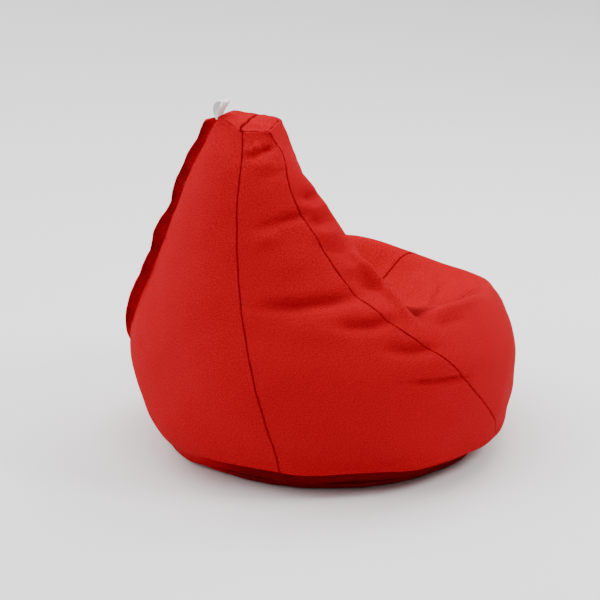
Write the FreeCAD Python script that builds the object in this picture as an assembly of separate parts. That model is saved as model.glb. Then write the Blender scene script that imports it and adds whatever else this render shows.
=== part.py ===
import FreeCAD, Part
import math
import os

from FreeCAD import Vector

# Pear-shaped bean bag chair, in millimetres.
# +Z is up, the sitter faces -Y, the sitter's right is -X.
# The origin is the middle of the flat underside, on the floor.

# ---- overall sizes ----
hip_radius = 450.0        # widest ring of the bag
bag_height = 785.0        # floor to the top of the cap
hip_height = 210.0        # height of the widest ring
seat_rim_height = 350.0   # rim of the seat at its front corners
seat_front_dip = 60.0     # the rim is this much lower at the middle of the front
seat_floor_height = 237.0 # deepest point of the seat hollow
cap_radius = 77.0         # centre to corner of the six-sided cap
cap_set_back = 205.0      # cap centre behind the hip centre

# ---- underside ----
hem_radius = hip_radius - 88.0   # seam ring between the side panels and the base
foot_radius = hem_radius - 47.0  # flat part that lies on the floor
hem_height = 20.0

# ---- cloth ----
cover_thickness = 1.5
liner_thickness = 1.0
layer_gap = 0.7           # between cover, liner and filling
seam_gap = 0.4            # each panel stops this far short of its seam line

# ---- zip fastener ----
slot_half = 8.4           # half the width of the slot between the two panels
tape_thickness = 0.6
coil_width = 1.4
coil_height = 1.6
coil_apart = 1.2          # between the two rows of teeth
tape_width = slot_half - coil_apart / 2 - 0.6
slider_length = 12.0
slider_clear = 0.35
slider_wall = 1.2
stop_length = 3.0

# ---- flap over the zip ----
flap_root = slot_half + 3.6      # sewn edge, this far from the seam line
flap_reach = slot_half + 13.6    # free edge, this far past the seam line
slider_top = tape_thickness + 0.15 + coil_height + slider_clear + slider_wall
flap_lift = slider_top + 2.1     # height of the inside of the flap over the zip
flap_low = 1.0            # height of the inside of the flap at its two edges
flap_open = 60.0          # degrees; the flap stands this far up from the zip

# ---- loop label ----
label_width = 28.0
label_height = 36.0
label_thickness = 0.5
label_fold = 4.0          # depth of the loop
label_from_corner = 10.0  # along the cap's edge

# ---- panels ----
# Seam lines run through ten levels, from the hem (0) to the cap (9).
TOP = 9
ZIP_LOW = 4.35            # the zip runs between these levels, where the seam is straight
ZIP_HIGH = 6.9
FLAP_LOW = 4.32           # the loose length of the flap runs between these levels
FLAP_HIGH = 7.1
rear_seam = [39, 38, 35, 31, 30, 30, 30, 30, 30, 30]
side_seam = [127, 116, 102, 91, 82, 75, 67, 66, 78, 90]
front_seam = [163, 162, 162, 161, 160, 158, 154, 151, 150, 150]

# Seams in order round the bag, as (seam angles, side), starting left of the back.
SEAMS = [
    (rear_seam, -1),
    (rear_seam, 1),
    (side_seam, 1),
    (front_seam, 1),
    (front_seam, -1),
    (side_seam, -1),
]
PANELS = ["back", "side_right", "front_right", "front_centre", "front_left", "side_left"]


def along(a, b, t):
    return a + (b - a) * t


def curve(values, t):
    """Smooth curve through evenly spaced values, at place t."""
    last = len(values) - 1
    i = min(max(int(math.floor(t)), 0), last - 1)
    f = t - i
    p1 = values[i]
    p2 = values[i + 1]
    p0 = values[i - 1] if i > 0 else 2 * p1 - p2
    p3 = values[i + 2] if i + 2 <= last else 2 * p2 - p1
    m1 = (p2 - p0) / 2
    m2 = (p3 - p1) / 2
    return (
        (2 * f**3 - 3 * f**2 + 1) * p1
        + (f**3 - 2 * f**2 + f) * m1
        + (3 * f**2 - 2 * f**3) * p2
        + (f**3 - f**2) * m2
    )


def centre_line():
    """Y of the middle of each level. The upper levels lean back towards the cap."""
    lean = 0.25 * cap_set_back
    upper = [along(lean, cap_set_back, i / 5) for i in range(6)]
    return [0, 0, 0, 0] + upper


def profiles():
    """Radius and height of each level, on five lines from the back centre to the front."""
    hip = hip_radius
    top = bag_height - cover_thickness - 0.6
    hem = (hem_radius, hem_height + 0.6)
    shin = along(hem_height, hip_height, 0.43)
    shoulder = along(hip_height, top, 0.34)
    bulge = along(hip_height, shoulder, 0.48)

    def rising(waist):
        """Straight from the shoulder for three levels, then rounded in to the cap."""
        neck = 0.435 * hip
        rows = []
        for i in range(4):
            out = along(waist, neck, i / 3)
            rows.append((out, along(shoulder, top, 0.65 * i / 3)))
        rows.append((along(neck, cap_radius, 0.52), along(shoulder, top, 0.845)))
        rows.append((cap_radius, top))
        return rows

    back = [hem, (0.985 * hip, shin), (hip, hip_height), (0.985 * hip, bulge)]
    back += [(out + 8, height) for out, height in rising(0.81 * hip)[:5]]
    back += [(cap_radius, top)]
    rear = [hem, (0.933 * hip, shin), (1.005 * hip, hip_height), (0.987 * hip, bulge)]
    rear += rising(0.81 * hip)
    side = [hem, (0.94 * hip, shin), (0.967 * hip, hip_height), (0.942 * hip, bulge)]
    side += [
        (0.80 * hip, shoulder - 8),
        (0.61 * hip, along(shoulder, top, 0.14)),
        (0.40 * hip, along(shoulder, top, 0.46)),
        (0.29 * hip, along(shoulder, top, 0.69)),
        (along(0.22 * hip, cap_radius, 0.4), along(shoulder, top, 0.86)),
        (cap_radius, top),
    ]
    rim = seat_rim_height
    dip = seat_rim_height - seat_front_dip
    deep = seat_floor_height
    corner = [hem, (0.92 * hip, shin), (0.945 * hip, hip_height)]
    corner += [
        (0.90 * hip, along(hip_height, rim, 0.61)),
        (0.885 * hip, rim),
        (0.73 * hip, along(deep, rim, 0.46)),
        (0.50 * hip, deep + 28),
        (0.39 * hip, along(deep, top, 0.285)),
        (0.27 * hip, along(deep, top, 0.63)),
        (cap_radius, top),
    ]
    front = [hem, (0.95 * hip, shin), (0.985 * hip, hip_height), (0.955 * hip, dip + 8)]
    front += [
        (0.93 * hip, dip + 2),
        (0.71 * hip, along(deep, dip, 0.38)),
        (0.485 * hip, deep),
        (0.36 * hip, along(deep, top, 0.205)),
        (0.26 * hip, along(deep, top, 0.585)),
        (cap_radius, top),
    ]
    return [back, rear, side, corner, front]


CENTRE = centre_line()
PROFILES = profiles()
ANGLES = [0, 30, 90, 150, 180]


def round_value(values, angle):
    """Value at an angle from the five lines, mirrored and closed round the bag."""
    a = abs((angle + 180) % 360 - 180)
    knots = [-90, -30] + ANGLES + [210, 270]
    v = [values[2], values[1]] + values + [values[3], values[2]]
    i = 2
    while i < 5 and a > knots[i + 1]:
        i += 1
    h = knots[i + 1] - knots[i]
    f = (a - knots[i]) / h
    m1 = h * (v[i + 1] - v[i - 1]) / (knots[i + 1] - knots[i - 1])
    m2 = h * (v[i + 2] - v[i]) / (knots[i + 2] - knots[i])
    return (
        (2 * f**3 - 3 * f**2 + 1) * v[i]
        + (f**3 - 2 * f**2 + f) * m1
        + (3 * f**2 - 2 * f**3) * v[i + 1]
        + (f**3 - f**2) * m2
    )


def level_values(level):
    centre = curve(CENTRE, level)
    radii = [curve([p[0] for p in line], level) for line in PROFILES]
    heights = [curve([p[1] for p in line], level) for line in PROFILES]
    return centre, radii, heights


def skin(angle, level, six_sided=0.0):
    """Point on the outside of the bag. Angles run from the back centre to the sitter's right."""
    if level < 0:
        turn = math.radians(90 * -level)
        radius = foot_radius + (hem_radius - foot_radius) * math.cos(turn)
        height = hem_height * (1 - math.sin(turn))
        centre = 0.0
    else:
        centre, radii, heights = level_values(level)
        radius = round_value(radii, angle) * (1 - six_sided)
        height = round_value(heights, angle)
    a = math.radians(angle)
    return Vector(-radius * math.sin(a), centre + radius * math.cos(a), height)


def seam_angle(number, level):
    angles, side = SEAMS[number % 6]
    return side * curve(angles, max(level, 0))


def panel_angles(number, level):
    """Angles of the two seams beside a panel, the second always the larger."""
    first = seam_angle(number, level)
    second = seam_angle(number + 1, level)
    while second < first:
        second += 360
    return first, second


def flatten(across, level):
    """How far a panel is pulled in towards the cap's straight edge."""
    t = min(max(level - (TOP - 1), 0), 1)
    corner = min(across, 1 - across) * 60
    edge = 1 - math.cos(math.radians(30)) / math.cos(math.radians(30 - corner))
    return edge * t * t * (3 - 2 * t)


def panel_point(number, across, level):
    first, second = panel_angles(number, level)
    inside = min(max(across, 0), 1)
    return skin(along(first, second, across), level, flatten(inside, level))


def outward(place, across, level):
    """Unit normal of a surface given by place(across, level)."""
    da = 0.01
    dl = 0.02
    low = max(level - dl, 0) if level >= 0 else level - dl
    high = min(level + dl, TOP)
    a = place(across + da, level) - place(across - da, level)
    b = place(across, high) - place(across, low)
    n = a.cross(b)
    n.normalize()
    return n


def inset_point(p, n, level, depth, top_height):
    """Point a set depth under the outside. The top row stays level, at its own height."""
    if level >= TOP - 1e-6:
        flat = Vector(n.x, n.y, 0)
        size = flat.Length
        flat.normalize()
        q = p - flat * (depth / max(size, 0.4))
        return Vector(q.x, q.y, top_height)
    if abs(level) < 1e-6:
        flat = Vector(n.x, n.y, 0)
        flat.normalize()
        q = p - flat * depth
        return Vector(q.x, q.y, p.z)
    return p - n * depth


def patch(points):
    surface = Part.BSplineSurface()
    surface.interpolate(points)
    return surface.toShape()


def edge_curve(points):
    line = Part.BSplineCurve()
    line.interpolate(points)
    return line.toShape()


def close_sheet(outer, inner):
    """Solid between two grids of points with the same number of rows and columns."""
    faces = [patch(outer), patch(inner)]
    sides = [
        ([row[0] for row in outer], [row[0] for row in inner]),
        ([row[-1] for row in outer], [row[-1] for row in inner]),
        (outer[0], inner[0]),
        (outer[-1], inner[-1]),
    ]
    for number in range(4):
        faces.append(side_wall(faces[0], faces[1], sides[number]))
    shell = Part.makeShell(faces)
    shell.sewShape()
    solid = Part.Solid(shell)
    if solid.Volume < 0:
        solid.reverse()
    return solid


def side_wall(first, second, ends):
    """Ruled wall between the matching edges of two patches."""
    a = nearest_edge(first, ends[0])
    b = nearest_edge(second, ends[1])
    return Part.makeRuledSurface(a, b)


def nearest_edge(face, points):
    middle = points[len(points) // 2]
    spot = Part.Vertex(middle)
    best = min(face.Edges, key=lambda e: e.distToShape(spot)[0])
    return best


def rows(first, last, count):
    return [along(first, last, i / (count - 1)) for i in range(count)]


def seam_inset(number, side, level):
    """Half gap at a seam. The two panels beside the zip stand further apart."""
    beside_zip = (number == 0 and side < 0) or (number == 5 and side > 0)
    if not beside_zip:
        return seam_gap
    low = min(max((level - ZIP_LOW + 0.35) / 0.45 + 0.5, 0), 1)
    high = min(max((ZIP_HIGH + 0.25 - level) / 0.3 + 0.5, 0), 1)
    t = min(low, high)
    return along(seam_gap, slot_half, t * t * (3 - 2 * t))


def gore(number, depth, thickness, top_height, plain):
    """One tall panel of the cover or of the liner."""
    def round_place(across, level):
        return skin(along(*panel_angles(number, level), across), level)

    outer = []
    inner = []
    for level in rows(0, TOP, 46):
        width = (panel_point(number, 1, level) - panel_point(number, 0, level)).Length
        left = (seam_gap if plain else seam_inset(number, -1, level)) / width
        right = (seam_gap if plain else seam_inset(number, 1, level)) / width
        outer.append([])
        inner.append([])
        for across in rows(left, 1 - right, 11):
            p = panel_point(number, across, level)
            n = outward(round_place, across, level)
            outer[-1].append(inset_point(p, n, level, depth, top_height))
            inner[-1].append(inset_point(p, n, level, depth + thickness, top_height))
    return close_sheet(outer, inner)


def dish(depth, thickness):
    """Round base panel: flat where it lies on the floor, turned up to the hem."""
    def line(off):
        wide = hem_radius - foot_radius - off
        tall = hem_height - off
        points = []
        for i in range(9):
            turn = math.radians(90 - 90 * i / 8)
            z = hem_height - tall * math.sin(turn)
            points.append(Vector(foot_radius + wide * math.cos(turn), 0, z))
        return points

    outside = line(depth)
    inside = line(depth + thickness)
    edges = [
        Part.makeLine(Vector(0, 0, depth), outside[0]),
        edge_curve(outside),
        Part.makeLine(outside[-1], inside[-1]),
        edge_curve(inside),
        Part.makeLine(inside[0], Vector(0, 0, depth + thickness)),
        Part.makeLine(Vector(0, 0, depth + thickness), Vector(0, 0, depth)),
    ]
    wire = Part.Wire(Part.__sortEdges__(edges))
    return Part.Face(wire).revolve(Vector(0, 0, 0), Vector(0, 0, 1), 360)


def bead_filling(depth, top_height):
    """The loose beads, as the one solid shape that they fill inside the liner."""
    def place(across, level):
        return skin(180 * across, level, (1 - math.cos(math.radians(30))) * hexed(level))

    def hexed(level):
        t = min(max(level - (TOP - 1), 0), 1)
        return t * t * (3 - 2 * t)

    half = []
    for level in [-1.0, -0.8, -0.6, -0.4, -0.2] + rows(0, TOP, 46):
        row = []
        for across in rows(0, 1, 25):
            row.append(filling_point(place, across, level, depth, top_height))
        half.append(row)
    other = [[Vector(-p.x, p.y, p.z) for p in row] for row in half]
    skins = [patch(half), patch(other)]
    ends = []
    for z in (depth, top_height):
        loop = [e for face in skins for e in face.Edges if is_level(e, z)]
        ends.append(Part.Face(Part.Wire(loop)))
    shell = Part.makeShell(skins + ends)
    shell.sewShape()
    solid = Part.Solid(shell)
    if solid.Volume < 0:
        solid.reverse()
    return solid


def filling_point(place, across, level, depth, top_height):
    if level < 0:
        turn = math.radians(90 * -level)
        radius = foot_radius + (hem_radius - foot_radius - depth) * math.cos(turn)
        height = hem_height - (hem_height - depth) * math.sin(turn)
        a = math.radians(180 * across)
        p = Vector(-radius * math.sin(a), radius * math.cos(a), height)
    else:
        n = outward(place, across, level)
        p = inset_point(place(across, level), n, level, depth, top_height)
    if across in (0, 1):
        p.x = 0
    return p


def is_level(edge, z):
    box = edge.BoundBox
    return abs(box.ZMin - z) < 0.05 and abs(box.ZMax - z) < 0.05


def half_cap(radius, thickness, top_height, turned):
    """Half of the six-sided cap. The two halves meet on a line between two corners."""
    angles = [30 + turned, 90 + turned, 150 + turned, 210 + turned]
    points = [corner_point(radius, a) for a in angles]
    points[0] = shorten(points[0], points[1], radius)
    points[-1] = shorten(points[-1], points[-2], radius)
    return plate(points, thickness, top_height)


def corner_point(radius, angle):
    a = math.radians(angle)
    return Vector(-radius * math.sin(a), cap_set_back + radius * math.cos(a), 0)


def shorten(end, neighbour, radius):
    return end + (neighbour - end) * (seam_gap / radius / math.sin(math.radians(60)))


def plate(points, thickness, top_height):
    wire = Part.makePolygon(points + [points[0]])
    solid = Part.Face(wire).extrude(Vector(0, 0, thickness))
    solid.translate(Vector(0, 0, top_height - thickness))
    return solid


# ---- zip, built along the straight part of the seam left of the back ----
def zip_frame():
    """Start, direction down the seam, sideways towards the back panel, and outward."""
    top = skin(seam_angle(0, ZIP_HIGH), ZIP_HIGH)
    bottom = skin(seam_angle(0, ZIP_LOW), ZIP_LOW)
    middle = (ZIP_LOW + ZIP_HIGH) / 2
    down = bottom - top
    length = down.Length
    down.normalize()

    def place(across, level):
        return panel_point(0, across, level)

    n = outward(place, 0.03, middle)
    n = n - down * n.dot(down)
    n.normalize()
    side = n.cross(down)
    toward_back = panel_point(0, 0.3, middle) - panel_point(0, 0.0, middle)
    if side.dot(toward_back) < 0:
        side = side * -1
    return top, down, side, n, length


def zip_block(start, end, left, right, low, high):
    """Box in the zip's own directions: along it, across it and outward from the bag."""
    top, down, side, n, length = zip_frame()
    corner = [(left, low), (right, low), (right, high), (left, high)]
    points = [top + down * start + side * s + n * h for s, h in corner]
    wire = Part.makePolygon(points + [points[0]])
    solid = Part.Face(wire).extrude(down * (end - start))
    if solid.Volume < 0:
        solid.reverse()
    return solid


def zip_tape(side):
    length = zip_frame()[4]
    near = coil_apart / 2
    far = near + tape_width
    return zip_block(0, length, *sorted((side * near, side * far)), 0, tape_thickness)


def zip_coil(side):
    length = zip_frame()[4]
    near = coil_apart / 2
    far = near + coil_width
    low = tape_thickness + 0.15
    ends = stop_length + 0.2
    return zip_block(ends, length - ends, *sorted((side * near, side * far)), low, low + coil_height)


def zip_stop(at_top):
    length = zip_frame()[4]
    start = 0 if at_top else length - stop_length
    half = coil_apart / 2 + coil_width + 0.4
    low = tape_thickness + 0.15
    return zip_block(start, start + stop_length, -half, half, low, low + coil_height + 0.2)


def zip_slider():
    """Slider at the closed end: wings over and under the teeth, side flanges and a post."""
    start = stop_length + 0.6
    end = start + slider_length
    inside = coil_apart / 2 + coil_width + slider_clear
    half = inside + slider_wall
    roof = tape_thickness + 0.15 + coil_height + slider_clear
    top_wing = zip_block(start, end, -half, half, roof, roof + slider_wall)
    left = zip_block(start, end, -half, -inside, tape_thickness + slider_clear, roof)
    right = zip_block(start, end, inside, half, tape_thickness + slider_clear, roof)
    post_half = coil_apart / 2 - 0.3
    post = zip_block(start, start + 4, -post_half, post_half, -slider_clear, roof)
    wing = zip_block(start, end, -half, half, -slider_clear - 0.8, -slider_clear)
    return top_wing.multiFuse([left, right, post, wing]).removeSplitter()


def flap_height(across_mm, lift):
    """Height of the inside of the flap: low at both edges, raised over the zip."""
    half = slot_half
    t = 1.0
    if across_mm < -half + 3:
        t = (across_mm + flap_root) / (flap_root - half + 3)
    if across_mm > half - 2:
        t = (flap_reach - across_mm) / (flap_reach - half + 2)
    t = min(max(t, 0), 1)
    return along(flap_low, lift, t * t * (3 - 2 * t))


def seam_side_point(across_mm, level):
    """Point beside the zip's seam, and the outward direction there."""
    back = panel_point(0, 1, level) - panel_point(0, 0, level)
    side = panel_point(5, 1, level) - panel_point(5, 0, level)
    if across_mm >= 0:
        number = 0
        across = across_mm / back.Length
    else:
        number = 5
        across = 1 + across_mm / side.Length
    angle = along(*panel_angles(number, level), across)

    def place(shift, lev):
        return skin(angle + 20 * shift, lev)

    return skin(angle, level), outward(place, 0, level)


def flap_strip(first, last, count, lift):
    """Strip of doubled cloth along the zip's seam, between two levels."""
    across = [-flap_root, -10.0, -7.5, -5, 0, 5, 8, 12, 16, 19.5, flap_reach]
    outer = []
    inner = []
    for level in rows(first, last, count):
        low_row = []
        high_row = []
        for s in across:
            p, n = seam_side_point(s, level)
            h = flap_height(s, lift)
            low_row.append(p + n * h)
            high_row.append(p + n * (h + cover_thickness))
        inner.append(low_row)
        outer.append(high_row)
    return close_sheet(outer, inner)


def standing_flap():
    """The loose length of the flap, turned up from the zip about its sewn edge."""
    strip = flap_strip(FLAP_LOW, FLAP_HIGH, 18, flap_lift)
    top, down, side, n, length = zip_frame()
    hinge = top - side * (flap_root + 1.0) + n * (flap_low - 0.3)
    strip.rotate(hinge, down, flap_open)
    return strip


def standing_top_end():
    """The flap's upper end, sewn to the cap's corner, standing up like the loose length."""
    start = FLAP_HIGH + 0.006
    strip = flap_strip(start, 8.8, 10, flap_lift)
    ends = []
    for level in (start, 8.8):
        p, n = seam_side_point(-flap_root - 0.4, level)
        ends.append(p + n * (flap_low - 0.1))
    strip.rotate(ends[0], ends[0] - ends[1], flap_open)
    strip.translate(n * 0.5)
    return strip


def loop_label():
    """Folded ribbon, standing on the cap's left rear edge, sewn in near the corner."""
    start = corner_point(cap_radius, -30)
    end = corner_point(cap_radius, -90)
    edge = end - start
    edge.normalize()
    out = Vector(edge.y, -edge.x, 0)
    if out.dot(Vector(start.x, start.y - cap_set_back, 0)) < 0:
        out = out * -1
    base = start + edge * label_from_corner - out * 3.0
    base.z = bag_height + 0.8
    outside = label_loop(0)
    inside = label_loop(label_thickness)
    points = [base + out * x + Vector(0, 0, z) for x, z in outside]
    hole = [base + out * x + Vector(0, 0, z) for x, z in inside]
    body = Part.Face(Part.makePolygon(points + [points[0]])).extrude(edge * label_width)
    space = Part.Face(Part.makePolygon(hole + [hole[0]])).extrude(edge * label_width)
    return body.cut(space)


def label_loop(inset):
    """Outline of the loop from the side: two legs that part above the seam, and a round top."""
    foot = label_thickness * 1.5 - inset * 0.9
    half = label_fold / 2 - inset
    shoulder = label_height - label_fold / 2
    points = [(-foot, inset), (-half, 9)]
    for i in range(9):
        turn = math.radians(180 - 180 * i / 8)
        points.append((half * math.cos(turn), shoulder + half * math.sin(turn)))
    points += [(half, 9), (foot, inset)]
    return points


def save(shape, name):
    shape.exportStep("parts/" + name + ".step")


def build():
    os.makedirs("parts", exist_ok=True)
    liner_depth = cover_thickness + layer_gap
    fill_depth = liner_depth + liner_thickness + layer_gap
    gore_top = bag_height - cover_thickness - 0.6
    liner_top = gore_top
    liner_gore_top = liner_top - liner_thickness - 0.6
    for number, name in enumerate(PANELS):
        save(gore(number, 0, cover_thickness, gore_top, False), "cover_panel_" + name)
        liner = gore(number, liner_depth, liner_thickness, liner_gore_top, True)
        save(liner, "liner_panel_" + name)
    save(half_cap(cap_radius, cover_thickness, bag_height, 0), "cap_half_right")
    save(half_cap(cap_radius, cover_thickness, bag_height, 180), "cap_half_left")
    liner_cap = [corner_point(cap_radius - liner_depth * 1.5, 30 + 60 * i) for i in range(6)]
    save(plate(liner_cap, liner_thickness, liner_top), "liner_cap")
    save(dish(0, cover_thickness), "cover_base")
    save(dish(liner_depth, liner_thickness), "liner_base")
    save(bead_filling(fill_depth, liner_gore_top), "bead_filling")
    save(zip_tape(1), "zip_tape_back_side")
    save(zip_tape(-1), "zip_tape_left_side")
    save(zip_coil(1), "zip_teeth_back_side")
    save(zip_coil(-1), "zip_teeth_left_side")
    save(zip_stop(True), "zip_top_stop")
    save(zip_stop(False), "zip_bottom_stop")
    save(zip_slider(), "zip_slider")
    save(standing_flap(), "zip_flap")
    save(standing_top_end(), "zip_flap_top_end")
    save(flap_strip(2.5, FLAP_LOW - 0.02, 12, flap_low + 1.5), "zip_flap_tacked_end")
    save(loop_label(), "loop_label")


build()
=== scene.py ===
import math

import bpy
import numpy as np
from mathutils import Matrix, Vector


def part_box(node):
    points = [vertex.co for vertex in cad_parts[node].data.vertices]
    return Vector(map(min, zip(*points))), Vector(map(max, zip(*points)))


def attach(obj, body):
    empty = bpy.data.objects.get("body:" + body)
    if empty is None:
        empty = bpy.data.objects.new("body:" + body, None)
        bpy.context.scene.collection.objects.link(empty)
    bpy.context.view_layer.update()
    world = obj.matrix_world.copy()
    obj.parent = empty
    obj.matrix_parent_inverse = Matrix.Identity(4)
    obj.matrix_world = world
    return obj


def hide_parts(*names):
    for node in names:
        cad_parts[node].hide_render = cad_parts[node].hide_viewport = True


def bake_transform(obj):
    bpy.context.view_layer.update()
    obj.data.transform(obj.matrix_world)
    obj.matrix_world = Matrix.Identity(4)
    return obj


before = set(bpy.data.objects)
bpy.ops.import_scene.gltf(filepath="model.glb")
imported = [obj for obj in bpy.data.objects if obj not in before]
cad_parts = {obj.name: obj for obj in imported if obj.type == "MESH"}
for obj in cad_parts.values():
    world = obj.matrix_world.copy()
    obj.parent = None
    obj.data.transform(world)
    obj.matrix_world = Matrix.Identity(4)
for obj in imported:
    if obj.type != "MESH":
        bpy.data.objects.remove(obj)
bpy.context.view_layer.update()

# ---------------------------------------------------------------- sizes
# Metres. +Z is up, the sitter faces -Y, the sitter's right is -X.


def span(*nodes):
    """Lowest and highest corner of several CAD nodes together."""
    lows = np.array([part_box(n)[0] for n in nodes])
    highs = np.array([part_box(n)[1] for n in nodes])
    return lows.min(0), highs.max(0)


CAP_LOW, CAP_HIGH = span("cap_half_right", "cap_half_left")
CAP_RADIUS = (CAP_HIGH[0] - CAP_LOW[0]) / 2
CAP_BACK = (CAP_HIGH[1] + CAP_LOW[1]) / 2
CAP_TOP = CAP_HIGH[2]
BASE_HIGH = span("cover_base")[1]
HEM_RADIUS = BASE_HIGH[0]
HEM_HEIGHT = BASE_HIGH[2]
FOOT_RADIUS = HEM_RADIUS - 0.047
HIP = HEM_RADIUS + 0.088
HIP_HEIGHT = 0.210
RIM = 0.350
DIP = 0.290  # the rim's height at the middle of the front
DEEP = 0.237

TOP = 9  # the seams run through ten levels, hem 0 to cap 9
CLOTH = 0.0012  # thickness of the cover cloth as shown
LINER = 0.0008
SAME_POINT = 0.00002  # points closer than this are one
EDGE_ROLL = 0.0030  # how far a panel turns in at a seam
ZIP_SLOT = 0.0052  # half the slot between the panels beside the zip

ZIP_SEAM = [39, 38, 35, 31, 30, 30, 30, 30, 30, 30]
REAR_SEAM = [39, 38, 35, 31.5, 30, 28.5, 28, 28.5, 30, 30]
SIDE_SEAM = [127, 116, 102, 91, 82, 75, 65.5, 64, 78, 90]
FRONT_SEAM = [163, 162, 162, 161, 160, 158, 154, 151, 150, 150]
SEAMS = [
    (ZIP_SEAM, -1),
    (REAR_SEAM, 1),
    (SIDE_SEAM, 1),
    (FRONT_SEAM, 1),
    (FRONT_SEAM, -1),
    (SIDE_SEAM, -1),
]
PANELS = ["back", "side_right", "front_right", "front_centre", "front_left", "side_left"]


# ---------------------------------------------------------------- shape of the bag
def mix(a, b, t):
    return a + (b - a) * t


def smooth(t):
    t = np.clip(t, 0, 1)
    return t * t * (3 - 2 * t)


def hermite(p1, p2, m1, m2, f):
    return (
        (2 * f**3 - 3 * f**2 + 1) * p1
        + (f**3 - 2 * f**2 + f) * m1
        + (3 * f**2 - 2 * f**3) * p2
        + (f**3 - f**2) * m2
    )


def curve(values, t):
    """Smooth curve through evenly spaced values, at places t."""
    v = np.asarray(values, float)
    v = np.concatenate([[2 * v[0] - v[1]], v, [2 * v[-1] - v[-2]]])
    t = np.asarray(t, float)
    i = np.clip(np.floor(t).astype(int), 0, len(values) - 2)
    f = t - i
    p0, p1, p2, p3 = v[i], v[i + 1], v[i + 2], v[i + 3]
    return hermite(p1, p2, (p2 - p0) / 2, (p3 - p1) / 2, f)


CENTRE = [0, 0, 0, 0] + [mix(0.25 * CAP_BACK, CAP_BACK, i / 5) for i in range(6)]
NECK_TOP = CAP_TOP - 0.004
SHIN = mix(HEM_HEIGHT, HIP_HEIGHT, 0.43)
SHOULDER = mix(HIP_HEIGHT, NECK_TOP, 0.34)
BULGE = mix(HIP_HEIGHT, SHOULDER, 0.48)
HEM = (HEM_RADIUS, HEM_HEIGHT + 0.0006)


def rising(waist, more):
    """The upper six levels: straight from the shoulder, then rounded in to the cap."""
    neck = 0.435 * HIP
    rows = []
    for i in range(4):
        rows.append((mix(waist, neck, i / 3) + more, mix(SHOULDER, NECK_TOP, 0.65 * i / 3)))
    rows.append((mix(neck, CAP_RADIUS, 0.52) + more, mix(SHOULDER, NECK_TOP, 0.845)))
    rows.append((CAP_RADIUS, NECK_TOP))
    return rows


BACK_LINE = [
    HEM,
    (0.985 * HIP, SHIN),
    (HIP, HIP_HEIGHT),
    (0.985 * HIP, BULGE),
    *rising(0.81 * HIP, 0.008),
]
REAR_LINE = [
    HEM,
    (0.933 * HIP, SHIN),
    (1.005 * HIP, HIP_HEIGHT),
    (0.987 * HIP, BULGE),
    *rising(0.81 * HIP, 0),
]
SIDE_LINE = [
    HEM,
    (0.94 * HIP, SHIN),
    (0.967 * HIP, HIP_HEIGHT),
    (0.942 * HIP, BULGE),
    (0.80 * HIP, SHOULDER - 0.008),
    (0.61 * HIP, mix(SHOULDER, NECK_TOP, 0.14)),
    (0.40 * HIP, mix(SHOULDER, NECK_TOP, 0.46)),
    (0.29 * HIP, mix(SHOULDER, NECK_TOP, 0.69)),
    (mix(0.22 * HIP, CAP_RADIUS, 0.4), mix(SHOULDER, NECK_TOP, 0.86)),
    (CAP_RADIUS, NECK_TOP),
]
CORNER_LINE = [
    HEM,
    (0.92 * HIP, SHIN),
    (0.945 * HIP, HIP_HEIGHT),
    (0.90 * HIP, mix(HIP_HEIGHT, RIM, 0.61)),
    (0.885 * HIP, RIM),
    (0.73 * HIP, mix(DEEP, RIM, 0.46)),
    (0.50 * HIP, DEEP + 0.028),
    (0.39 * HIP, mix(DEEP, NECK_TOP, 0.285)),
    (0.27 * HIP, mix(DEEP, NECK_TOP, 0.63)),
    (CAP_RADIUS, NECK_TOP),
]
FRONT_LINE = [
    HEM,
    (0.95 * HIP, SHIN),
    (0.985 * HIP, HIP_HEIGHT),
    (0.955 * HIP, DIP + 0.008),
    (0.93 * HIP, DIP + 0.002),
    (0.71 * HIP, mix(DEEP, DIP, 0.38)),
    (0.485 * HIP, DEEP),
    (0.36 * HIP, mix(DEEP, NECK_TOP, 0.205)),
    (0.26 * HIP, mix(DEEP, NECK_TOP, 0.585)),
    (CAP_RADIUS, NECK_TOP),
]
LINES = [BACK_LINE, REAR_LINE, SIDE_LINE, CORNER_LINE, FRONT_LINE]
LINE_ANGLES = np.array([-90, -30, 0, 30, 90, 150, 180, 210, 270], float)


def round_value(five, angle):
    """Value at an angle, from its values on the five lines, mirrored round the bag."""
    a = np.abs((angle + 180) % 360 - 180)
    v = np.array([five[2], five[1], *five, five[3], five[2]])
    k = LINE_ANGLES
    i = np.clip(np.searchsorted(k, a, side="right") - 1, 2, 5)
    n = np.arange(a.size)
    h = k[i + 1] - k[i]
    m1 = h * (v[i + 1, n] - v[i - 1, n]) / (k[i + 1] - k[i - 1])
    m2 = h * (v[i + 2, n] - v[i, n]) / (k[i + 2] - k[i])
    return hermite(v[i, n], v[i + 1, n], m1, m2, (a - k[i]) / h)


# The cap sags: how far each corner has moved left, back and up, from -30 degrees on.
SAG_ANGLES = [-30, 30, 90, 150, 210, 270, 330]
SAG = [
    (0.002, 0.002, 0.015),
    (-0.003, -0.005, -0.002),
    (0.006, 0.008, -0.004),
    (0.010, 0.012, 0.006),
    (0.005, 0.007, -0.005),
    (0.003, 0.004, 0.008),
    (0.002, 0.002, 0.015),
]


def sag(angle, level):
    """Sideways lean of the top of the bag, full at the cap and gone three levels below."""
    a = (np.asarray(angle, float) + 30) % 360 - 30
    fade = smooth((np.asarray(level, float) - 6.6) / 2.4)
    moves = [np.interp(a, SAG_ANGLES, [corner[k] for corner in SAG]) * fade for k in range(3)]
    return np.stack(moves, 1)


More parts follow.
